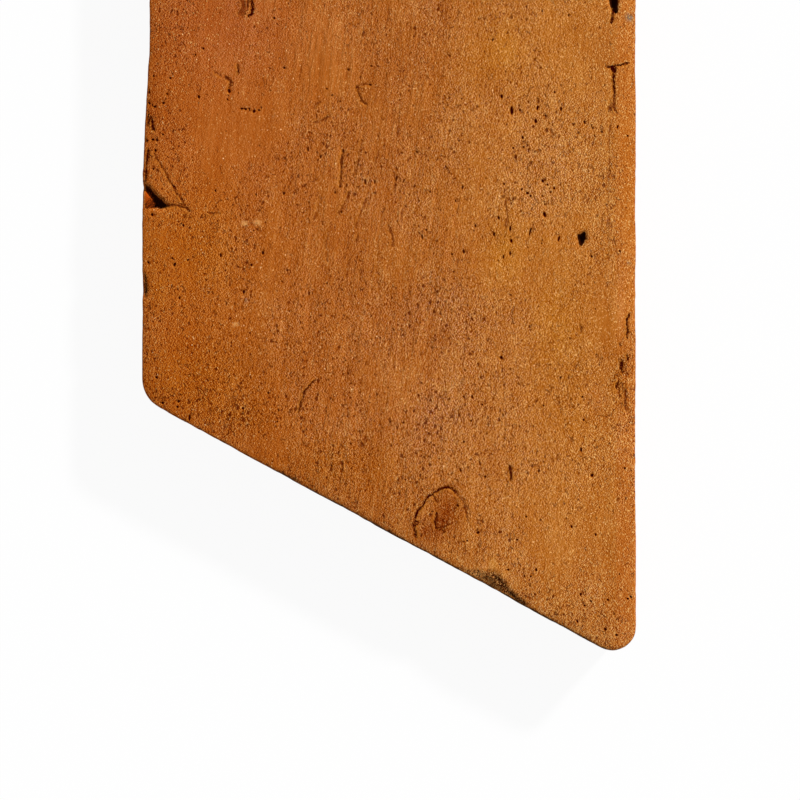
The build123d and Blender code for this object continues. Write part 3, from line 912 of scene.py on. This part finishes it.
gaps = {
    "hole_gap": hole_gap,
    "shade_gap": shade_gap,
    "notch_gap": torn_gap["notch"],
    "spall_gap": torn_gap["spall"],
    "spall_shade_gap": torn_gap["spall shade"],
}
for name, gap in gaps.items():
    keep_on_points(name, np.clip(gap, -FAR, FAR), FAR)
keep_on_points("crack_side", crack_side, FAR)
keep_on_points("crack_width", crack_width, -FAR)
keep_on_points("crack_dark", crack_dark, 0.0)
for name, way in {**pores, "pale": pale}.items():
    keep_on_points(name, way, -1.0)
for name, amount in zip(PATCH_AMOUNTS, patch_sums):
    keep_on_points(name, amount, 0.0)
keep_on_points("dragged", drag_here, DRAG_LEAST)
edge_near = np.clip(np.minimum(from_left, from_low), 0.0, FAR)
keep_on_points("edge_near", edge_near, FAR, rim_near)

tile = bpy.data.objects.new("terracotta_tile", clay)
bpy.context.scene.collection.objects.link(tile)
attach(tile, "root")
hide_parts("tile")
print(f"tile: {len(clay.vertices)} points, {len(clay.polygons)} faces")

# %% [markdown]
# ## Writing a finish as arithmetic
#
# A finish in Blender is a tree of nodes, and sums of many nodes are hard to read as links. So one
# small class stands for a socket. Arithmetic on it adds Math nodes, and its `node` method adds any
# other kind. The finish below then reads like the formulas above.

# %% A socket that does arithmetic


class Wire:
    """One output socket of a node tree."""

    def __init__(self, tree, socket):
        self.tree = tree
        self.socket = socket

    def node(self, kind, settings, inputs, output=0):
        """Adds a node, makes its settings, fills its sockets with values or wires, returns an output."""
        made = self.tree.nodes.new(kind)
        for name, setting in settings.items():
            setattr(made, name, setting)
        for key, value in inputs.items():
            if isinstance(value, Wire):
                self.tree.links.new(value.socket, made.inputs[key])
            else:
                made.inputs[key].default_value = value
        return Wire(self.tree, made.outputs[output])

    def math(self, operation, *values):
        return self.node("ShaderNodeMath", {"operation": operation}, dict(enumerate(values)))

    def __add__(self, other):
        return self.math("ADD", self, other)

    def __radd__(self, other):
        return self.math("ADD", other, self)

    def __sub__(self, other):
        return self.math("SUBTRACT", self, other)

    def __rsub__(self, other):
        return self.math("SUBTRACT", other, self)

    def __mul__(self, other):
        return self.math("MULTIPLY", self, other)

    def __rmul__(self, other):
        return self.math("MULTIPLY", other, self)

    def __pow__(self, other):
        return self.math("POWER", self, other)

    def __abs__(self):
        return self.math("ABSOLUTE", self)

    def step(self, start, end):
        """A soft step from 0 at start to 1 at end, also where start is the larger."""
        settings = {"interpolation_type": "SMOOTHSTEP"}
        low, high = min(start, end), max(start, end)
        rising = self.node("ShaderNodeMapRange", settings, {0: self, 1: low, 2: high, 3: 0.0, 4: 1.0})
        return rising if start < end else 1 - rising

    def mix(self, first, second):
        """The colour first where this wire is 0 and second where it is 1."""
        settings = {"data_type": "RGBA", "clamp_factor": True}
        return self.node("ShaderNodeMix", settings, {0: self, 6: first, 7: second}, 2)

    def scaled(self, factor):
        """This colour or vector times a number or a wire."""
        return self.node("ShaderNodeVectorMath", {"operation": "SCALE"}, {0: self, "Scale": factor})

    def stretched(self, x, y, z):
        """This vector or colour times a different number or wire along each axis."""
        factors = self.node("ShaderNodeCombineXYZ", {}, {0: x, 1: y, 2: z})
        return self.node("ShaderNodeVectorMath", {"operation": "MULTIPLY"}, {0: self, 1: factors})

    def shifted(self, way):
        """This vector moved by three numbers."""
        return self.node("ShaderNodeVectorMath", {"operation": "ADD"}, {0: self, 1: way})

    def parts(self):
        """The three numbers of this vector."""
        return [self.node("ShaderNodeSeparateXYZ", {}, {0: self}, axis) for axis in "XYZ"]

    def noise(self, scale, detail=2.0, roughness=0.5):
        """Noise around zero at this place."""
        inputs = {"Vector": self, "Scale": scale, "Detail": detail, "Roughness": roughness}
        return self.node("ShaderNodeTexNoise", {}, inputs) - 0.5

    def dots(self, scale, output):
        """Scattered points: the distance to the nearest, or a random colour of its own."""
        return self.node("ShaderNodeTexVoronoi", {}, {"Vector": self, "Scale": scale}, output)


# %% [markdown]
# ## The fired clay
#
# The clay is not one colour. It fires redder and darker at the left and lighter and more yellow at the
# right, in soft bands along the tile. Over that lies sand: grains and pores about as wide as a pixel of
# the photograph. Colour alone would look printed, so the same grain also feeds a bump.

# %% Colours of the clay, linear
RED_CLAY = (0.432, 0.103, 0.0092, 1.0)
MIDDLE_CLAY = (0.438, 0.120, 0.0146, 1.0)
TAN_CLAY = (0.505, 0.161, 0.0198, 1.0)
LIP_CLAY = (0.498, 0.146, 0.0180, 1.0)
STAINED_CLAY = (0.330, 0.065, 0.0050, 1.0)
PAINTED_HIGHLIGHT = (0.640, 0.210, 0.0200, 1.0)
RUST = (0.125, 0.011, 0.0002, 1.0)
MARK_HALO = (0.300, 0.045, 0.0006, 1.0)
DARK_PORE = (0.042, 0.001, 0.0001, 1.0)
CRACK_SHADE = (0.040, 0.001, 0.0001, 1.0)
# Painted shade for the edges that face away from the sun
EDGE_SHADE = (0.060, 0.022, 0.0060, 1.0)
ASH = (0.140, 0.110, 0.0600, 1.0)
# The spall's broken clay: BROWN_BREAK and PALE_BREAK are painted lighter than the clay, as painted light
# against the shade of its slope, which faces away from the sun. BREAK_SHADE gives its dark specks and
# the painted shade of its dark streak.
BROWN_BREAK = (0.860, 0.240, 0.0360, 1.0)
PALE_BREAK = (0.950, 0.460, 0.1300, 1.0)
BREAK_SHADE = (0.070, 0.009, 0.0008, 1.0)
TORN_CLAY = (0.480, 0.075, 0.0040, 1.0)
TORN_SHADE = (0.075, 0.011, 0.0010, 1.0)
HOLE_SHADE = (0.030, 0.005, 0.0006, 1.0)
PALE_SAND = (0.930, 0.530, 0.1700, 1.0)
WHITE_SAND = (0.800, 0.420, 0.1300, 1.0)
WHITE_GRAIN = (1.000, 0.660, 0.3000, 1.0)

# %% The broad colour as formulas
BAND_STRETCH = (0.05, 0.016, 0.05)  # waves in a millimetre along X, Y and Z
CLOUD_STRETCH = (0.16, 0.08, 0.16)
MOTTLE_STRETCH = (1.15, 0.7, 1.0)
MOTTLE_SCALE = 0.75
RED_TO_MIDDLE = (-40.0, 6.0)  # millimetres along X over which one clay runs into the next
MIDDLE_TO_TAN = (-2.0, 36.0)
TAN_TO_LIP = (45.4, 46.8)

finish = bpy.data.materials.new("fired_terracotta")
finish.use_nodes = True
tree = finish.node_tree
shader = tree.nodes["Principled BSDF"]
desk = Wire(tree, None)


def on_points(name, output="Fac"):
    """A number or a vector that the mesh carries on its points."""
    return desk.node("ShaderNodeAttribute", {"attribute_name": name}, {}, output)


place = desk.node("ShaderNodeTexCoord", {}, {}, "Object").scaled(1 / MM)
place_x, place_y, place_z = place.parts()
bands = place.stretched(*BAND_STRETCH).noise(1.0, 2.0)
clouds = place.stretched(*CLOUD_STRETCH).noise(1.0, 3.0)
mottle = place.stretched(*MOTTLE_STRETCH).noise(MOTTLE_SCALE, 3.0)
uneven_x = place_x + 26.0 * bands + 12.0 * clouds
base = uneven_x.step(*RED_TO_MIDDLE).mix(RED_CLAY, MIDDLE_CLAY)
base = uneven_x.step(*MIDDLE_TO_TAN).mix(base, TAN_CLAY)
base = (place_x + 1.5 * mottle).step(*TAN_TO_LIP).mix(base, LIP_CLAY)
base = on_points("redder").mix(base, STAINED_CLAY)
base = on_points("greyer").mix(base, ASH)
print(f"broad colour: {len(tree.nodes)} nodes")

# %% [markdown]
# ## Sand grain
#
# Seen close, the clay is all grains. Two patterns make them: fine noise, stretched a little along the
# strike, and small cells that each have a random level, which give the crisp sparkle of sand. A cell is
# compared with its neighbours, so that only the step from grain to grain shows. A few cells are pale
# grains. Specks, pits and curls are small dark marks, and scratches are cells stretched a long way.

# %% Patterns of grain and drag
GRAIN_STRETCH = (1.35, 0.6, 1.0)
GRAIN_SCALE = 3.8  # grains in a millimetre
CELL_STRETCH = (1.2, 0.8, 1.0)
CELL_SCALE = 5.8
ROUGH_STRETCH = (0.09, 0.05, 0.09)
STREAK_STRETCH = (1.5, 0.12, 1.5)
STRAND_STRETCH = (3.4, 0.42, 3.4)
# The way to a neighbouring grain in millimetres, and how much that grain counts
NEIGHBOURS = [((0.20, -0.02, 0.0), 0.7), ((0.0, 0.20, 0.0), 0.15), ((0.0, -0.20, 0.0), 0.15)]


def grain_cells(where):
    """The three random numbers of the cell at a place."""
    return where.stretched(*CELL_STRETCH).dots(CELL_SCALE, "Color").parts()


grain = place.stretched(*GRAIN_STRETCH).noise(GRAIN_SCALE, 2.0, 0.6)
cell_level, cell_pick, cell_odd = grain_cells(place)
fleck = cell_level
for way, share in NEIGHBOURS:
    fleck = fleck - share * grain_cells(place.shifted(way))[0]
sandy = (clouds + 0.008 * place_x).step(-0.35, 0.45)
rough = place.stretched(*ROUGH_STRETCH).noise(1.0, 2.0).step(0.22, -0.12) + on_points("rougher")
leaning_x = place_x - DRAG_LEAN * place_y
lean_place = place.node("ShaderNodeCombineXYZ", {}, {0: leaning_x, 1: place_y, 2: place_z})
streaks = lean_place.stretched(*STREAK_STRETCH).noise(1.0, 2.0)
strands = lean_place.stretched(*STRAND_STRETCH).noise(1.0, 1.0)
dragged = on_points("dragged")
print(f"with patterns: {len(tree.nodes)} nodes")

# %% Light and dark grains
# Each colour channel takes the level to its own power, so that shade turns redder and light paler
RED_POWER = 0.58
GREEN_POWER = 1.15
BLUE_POWER = 2.6
LEAST_LEVEL = 0.2
PALE_CELLS = (0.91, 0.98)  # from which random number on a cell is pale, glints or is white
GLINT_CELLS = (0.975, 0.99)
WHITE_CELLS = (0.9985, 0.9993)

gritty = (0.5 + 0.45 * rough) * (1.5 * grain + 1.85 * fleck)
gritty = gritty + 0.6 * dragged * clouds.step(-0.2, 0.2) * strands
level = 0.98 + 0.45 * clouds + 0.25 * mottle + 0.6 * streaks + gritty + on_points("lighter")
level = level.math("MAXIMUM", level, LEAST_LEVEL)
blueness = 0.95 + on_points("bluer")
base = base.stretched(level**RED_POWER, level**GREEN_POWER, level**BLUE_POWER * blueness)
sparkle = cell_pick.step(*PALE_CELLS) * (0.15 + 0.7 * sandy)
base = sparkle.mix(base, PALE_SAND)
base = (0.6 * cell_odd.step(*GLINT_CELLS)).mix(base, PALE_SAND)
base = (0.9 * cell_odd.step(*WHITE_CELLS)).mix(base, WHITE_GRAIN)
print(f"with grains: {len(tree.nodes)} nodes")

# %% Specks, pits, curls and scratches
SPECK_STRETCH = (1.0, 0.75, 1.0)
SPECK_HALO = (0.30, 0.16)  # gaps at which a mark starts and is full
SPECK_EDGE = (0.20, 0.12)
PIT_STRETCH = (0.7, 0.5, 1.0)
PIT_EDGE = (0.05, -0.03)
CURL_STRETCH = (1.0, 0.65, 1.0)
CURL_SCALE = 0.9
CURL_EDGE = (0.05, 0.015)
CURLED_STRETCH = (0.9, 0.6, 0.9)  # of the places that have curls
CURLED_EDGE = (0.12, 0.22)
SCRATCH_STRETCH = (0.8, 0.15, 0.8)
SCRATCH_EDGE = (0.13, 0.04)

# Specks and pits are tiny pores: their dark is painted shade, with a softer halo of it round the specks
speck_gap = place.stretched(*SPECK_STRETCH).dots(1.0, "Distance") + 0.35 * grain
speck_here = (0.15 + 0.7 * rough.step(0.15, 0.95)) * (1.0 - 0.3 * sandy)
speck_halo = speck_gap.step(*SPECK_HALO) * speck_here
base = (0.5 * speck_halo).mix(base, MARK_HALO)
speck_mask = speck_gap.step(*SPECK_EDGE) * speck_here
base = speck_mask.mix(base, RUST)
pit_gap = place.stretched(*PIT_STRETCH).dots(1.0, "Distance") + 0.5 * grain + 0.4 * mottle
pit_mask = (pit_gap - 0.12 * rough).step(*PIT_EDGE)
base = (0.85 * pit_mask).mix(base, RUST)
curl_line = abs(place.stretched(*CURL_STRETCH).noise(CURL_SCALE, 1.0))
curl_here = (place.stretched(*CURLED_STRETCH).noise(1.0, 2.0) + 0.1 * rough).step(*CURLED_EDGE)
curl_mask = curl_line.step(*CURL_EDGE) * curl_here
base = (0.45 * curl_mask).mix(base, RUST)
scratch_gap = lean_place.stretched(*SCRATCH_STRETCH).dots(1.0, "Distance") + 0.3 * grain
scratch_mask = scratch_gap.step(*SCRATCH_EDGE)
base = (dragged * scratch_mask).mix(base, STAINED_CLAY)
print(f"with small marks: {len(tree.nodes)} nodes")

# %% [markdown]
# ## Marks in the finish
#
# The larger marks read what the mesh carries. Noise is added before each soft step, so that no mark
# has a clean edge. Light falls in from the upper right, so the painted shade of a pore is drawn towards
# that side, and its far wall, which faces the light, gets a painted highlight.

# %% Painted edge shade and torn places over the clay
EDGE_SHADE_STRETCH = (0.28, 0.28, 0.1)
EDGE_SHADE_PATCH = (-0.3, 0.0)
EDGE_SHADE_ALONG = (-30.0, -42.0)  # millimetres along Y over which the painted edge shade sets in
EDGE_SHADE_EDGE = (0.65, 0.15)  # millimetres from an edge or an outline at which a mark starts and is full
EDGE_SHADE_HAZE = (2.2, 0.2)
SPALL_EDGE = (0.1, -0.4)
SPALL_SHADE_EDGE = (0.5, -0.2)
NOTCH_EDGE = (0.05, -0.1)
SHADE_EDGE = (0.0, -0.25)
HOLE_EDGE = (0.06, -0.12)

# Painted shade along the left side and the lower end, which face away from the sun, in patches towards
# the lower end of the tile, with a fainter haze of it farther in
edge_gap = on_points("edge_near") + 1.5 * mottle + 0.5 * grain
edge_shade_cloud = place.stretched(*EDGE_SHADE_STRETCH).noise(1.0, 3.0) + 0.008 * place_x
edge_shade_here = place_y.step(*EDGE_SHADE_ALONG) * edge_shade_cloud.step(*EDGE_SHADE_PATCH)
base = (0.85 * edge_shade_here * edge_gap.step(*EDGE_SHADE_EDGE)).mix(base, EDGE_SHADE)
base = (0.25 * edge_shade_here * edge_gap.step(*EDGE_SHADE_HAZE)).mix(base, EDGE_SHADE)
spall_mask = (on_points("spall_gap") + 1.6 * grain + 1.4 * mottle).step(*SPALL_EDGE)
spall_shade_gap = on_points("spall_shade_gap")
# More dark specks, as painted shade, towards the spall's dark streak; the offset paints the rest lighter
rubble = 3.4 * place.noise(1.9, 2.0, 0.6) + 1.5 * grain + 1.8 * fleck
rubble = rubble + 0.3 - 0.5 * spall_shade_gap.step(2.4, 0.0)
broken = rubble.step(-0.3, 0.05).mix(BREAK_SHADE, BROWN_BREAK)
broken = rubble.step(0.25, 0.65).mix(broken, PALE_BREAK)
base = spall_mask.mix(base, broken)
spall_shade = (spall_shade_gap + 1.6 * grain + 0.9 * rubble).step(*SPALL_SHADE_EDGE) * spall_mask
base = (0.85 * spall_shade).mix(base, BREAK_SHADE)
notch_mask = (on_points("notch_gap") + 0.4 * grain).step(*NOTCH_EDGE)
torn_level = on_points("lighter") + 0.9 * grain + 0.5 * fleck
torn = torn_level.step(0.0, 0.75).mix(TORN_SHADE, TORN_CLAY)
base = notch_mask.mix(base, torn)
shade_mask = (on_points("shade_gap") + 1.0 * grain + 0.8 * mottle + 0.3 * fleck).step(*SHADE_EDGE)
base = (0.92 * shade_mask).mix(base, HOLE_SHADE)
hole_mask = (on_points("hole_gap") + 0.3 * grain).step(*HOLE_EDGE)
base = hole_mask.mix(base, HOLE_SHADE)
print(f"with torn places: {len(tree.nodes)} nodes")

# %% Cracks over the clay
CRACK_EDGE = (0.06, -0.03)  # millimetres from the crack's lip at which a mark starts and is full
CRACK_HALO = (0.18, 0.04)
CRACK_BOWL = (0.3, -0.1)
CRACK_OPEN = (0.5, 0.8)  # levels of noise and darkness at which a crack stands open

crack_side = on_points("crack_side") + 1.1 * grain
crack_width = on_points("crack_width")
crack_dark = on_points("crack_dark")
# Painted highlight on the side of a crack whose wall faces the light, over the burr beside it
ridge = crack_side.step(0.08, 0.25) * crack_side.step(0.8, 0.4) * crack_width.step(-0.3, 0.0)
base = (0.45 * ridge * crack_dark).mix(base, PAINTED_HIGHLIGHT)
crack_open = (2.0 * mottle + 1.2 * grain + 1.3 * crack_dark).step(*CRACK_OPEN)
crack_gap = abs(crack_side) - crack_width * (1.0 + 3.0 * mottle)
crack_mask = crack_gap.step(*CRACK_EDGE) * crack_open
crack_halo = crack_gap.step(*CRACK_HALO) * crack_open
base = (0.8 * crack_halo * crack_dark).mix(base, MARK_HALO)
crack_strength = 0.15 + 0.85 * crack_dark
base = (crack_mask * crack_strength).mix(base, crack_dark.step(0.5, 0.95).mix(RUST, CRACK_SHADE))
crack_bowl = crack_gap.step(*CRACK_BOWL) * crack_dark
print(f"with cracks: {len(tree.nodes)} nodes")

# %% Pores and pale grains over the clay
SPOT_COUNTS = (0.0, 0.2)  # how much a spot has to count before it is drawn
DARK_SIDE = (0.3, 0.2)  # middle of a pore's painted shade and of its painted highlight, in half sizes of the pore
LIT_SIDE = (-0.75, -0.6)
LIT_EDGE = (1.6, 0.7)  # squared distances at which a mark starts and is full
PORE_HALO = (3.0, 1.6)
PORE_DARK = (1.55, 1.0)
PORE_BOWL = (2.3, 0.3)
PALE_EDGE = (1.2, 0.2)


def squared(across, along):
    """The squared distance from a spot, in its half sizes."""
    return across * across + along * along


pore_bowls = []
for name in pore_layers:
    across, along, counts = on_points(name, "Vector").parts()
    across = across + 1.6 * grain
    here = counts.step(*SPOT_COUNTS) * (1.2 - 0.5 * dragged)
    dark_round = squared(across - DARK_SIDE[0], along - DARK_SIDE[1]) + 2.0 * grain
    lit_round = squared(across - LIT_SIDE[0], along - LIT_SIDE[1])
    # Each pore: a painted highlight on its lower left wall, which faces the light, and painted shade
    # with a softer halo towards the upper right, where its wall is turned away from the light
    base = (0.55 * lit_round.step(*LIT_EDGE) * here).mix(base, PAINTED_HIGHLIGHT)
    base = (0.8 * dark_round.step(*PORE_HALO) * here).mix(base, MARK_HALO)
    base = (dark_round.step(*PORE_DARK) * here).mix(base, DARK_PORE)
    pore_bowls.append(squared(across, along).step(*PORE_BOWL) * here)
pale_across, pale_along, pale_counts = on_points("pale", "Vector").parts()
pale_round = squared(pale_across, pale_along) + 4.5 * grain + 3.6 * fleck
pale_mask = pale_round.step(*PALE_EDGE) * pale_counts.step(*SPOT_COUNTS)
base = (0.7 * pale_mask).mix(base, WHITE_SAND)
print(f"with pores: {len(tree.nodes)} nodes")

# %% Relief of the fine marks, and the shader
RELIEF_HEIGHT = 0.0002  # metres
CLAY_ROUGHNESS = 0.95
CLAY_SHINE = 0.02

pore_bowl = sum(pore_bowls[1:], pore_bowls[0])
dents = 0.45 * speck_mask + 0.5 * scratch_mask + 0.8 * pit_mask + 0.6 * curl_mask
dents = dents + 1.6 * pore_bowl + 1.2 * crack_bowl
drag_relief = dragged * (1.8 * streaks + 0.6 * strands)
relief = 0.4 * grain + 0.1 * cell_level + 0.3 * mottle + drag_relief + spall_mask * rubble - dents
bump = desk.node("ShaderNodeBump", {}, {"Distance": RELIEF_HEIGHT, "Height": relief}, "Normal")
tree.links.new(base.socket, shader.inputs["Base Color"])
tree.links.new(bump.socket, shader.inputs["Normal"])
shader.inputs["Roughness"].default_value = CLAY_ROUGHNESS
shader.inputs["Specular IOR Level"].default_value = CLAY_SHINE
clay.materials.append(finish)
print(f"finish: {len(tree.nodes)} nodes")

# %% [markdown]
# ## Floor and light
#
# The photograph has a white ground. The floor is white paper, which the camera sees mostly as plain
# white, with enough of its own shading left to keep the tile's shadow. One soft sun stands at the upper
# right, low enough to show the relief, and an even sky fills the shadows. Together they light a level
# face at 1, so that colours come out as they are written.

# %% Floor, sun and sky
FLOOR_SIZE = 6.0  # metres
FLOOR_DROP = 0.0001  # keeps the floor clear of the bedding face
FLOOR_WHITE_SHARE = 0.94
PAPER = (0.9, 0.9, 0.9, 1.0)
WHITE = (1.0, 1.0, 1.0, 1.0)
SUN_ELEVATION = math.radians(37.0)
SUN_AZIMUTH = math.radians(48.0)  # from the X axis towards the Y axis
SUN_SHARE = 0.68
SUN_SOFTNESS = math.radians(5.0)

floor_mesh = bpy.data.meshes.new("studio_floor")
half_floor = FLOOR_SIZE / 2
floor_plan = [(-half_floor, -half_floor), (half_floor, -half_floor)]
floor_plan += [(half_floor, half_floor), (-half_floor, half_floor)]
floor_corners = [(x, y, -FLOOR_DROP) for x, y in floor_plan]
floor_mesh.from_pydata(floor_corners, [], [(0, 1, 2, 3)])
floor = bpy.data.objects.new("studio_floor", floor_mesh)
bpy.context.scene.collection.objects.link(floor)

paper = bpy.data.materials.new("studio_paper")
paper.use_nodes = True
paper_tree = paper.node_tree
paper_tree.nodes.clear()
paper_desk = Wire(paper_tree, None)
ray_kinds = ("Camera", "Glossy", "Transmission")
rays = [paper_desk.node("ShaderNodeLightPath", {}, {}, f"Is {kind} Ray") for kind in ray_kinds]
white_share = FLOOR_WHITE_SHARE * sum(rays[1:], rays[0])
shaded = paper_desk.node("ShaderNodeBsdfDiffuse", {}, {"Color": PAPER})
glowing = paper_desk.node("ShaderNodeEmission", {}, {"Color": WHITE, "Strength": 1.0})
seen = paper_desk.node("ShaderNodeMixShader", {}, {0: white_share, 1: shaded, 2: glowing})
paper_output = paper_tree.nodes.new("ShaderNodeOutputMaterial")
paper_tree.links.new(seen.socket, paper_output.inputs["Surface"])
floor_mesh.materials.append(paper)

sun_data = bpy.data.lights.new("studio_sun", "SUN")
sun_data.energy = SUN_SHARE * math.pi / math.sin(SUN_ELEVATION)
sun_data.angle = SUN_SOFTNESS
sun = bpy.data.objects.new("studio_sun", sun_data)
sun.rotation_euler = (math.pi / 2 - SUN_ELEVATION, 0.0, math.pi / 2 + SUN_AZIMUTH)
bpy.context.scene.collection.objects.link(sun)

sky = bpy.data.worlds.new("studio_sky")
sky.use_nodes = True
sky_shader = sky.node_tree.nodes["Background"]
sky_shader.inputs["Color"].default_value = WHITE
sky_shader.inputs["Strength"].default_value = 1 - SUN_SHARE
bpy.context.scene.world = sky
print(f"sun {sun_data.energy:.2f}, sky {1 - SUN_SHARE:.2f}")

# %% [markdown]
# ## The camera
#
# The photograph looks straight down on the lower end of the tile, and the frame cuts off the rest. A
# long lens from half a metre keeps the sides upright. Its height follows from the frame: 800 pixels,
# each as large on the tile as worked out above.

# %% Camera straight above the lower end
FRAME_PIXELS = 800
LENS = 120.0
SENSOR = 36.0

camera_data = bpy.data.cameras.new("photo_camera")
camera_data.lens = LENS
camera_data.sensor_width = SENSOR
camera = bpy.data.objects.new("photo_camera", camera_data)
frame_middle = on_tile([(FRAME_PIXELS / 2, FRAME_PIXELS / 2)])[0]
camera_height = THICKNESS + FRAME_PIXELS * PIXEL * LENS / SENSOR
camera.location = (frame_middle[0] * MM, frame_middle[1] * MM, camera_height * MM)
bpy.context.scene.collection.objects.link(camera)
bpy.context.scene.camera = camera
bpy.context.scene.view_settings.view_transform = "Standard"
print(f"camera {camera_height:.0f} mm above the floor")
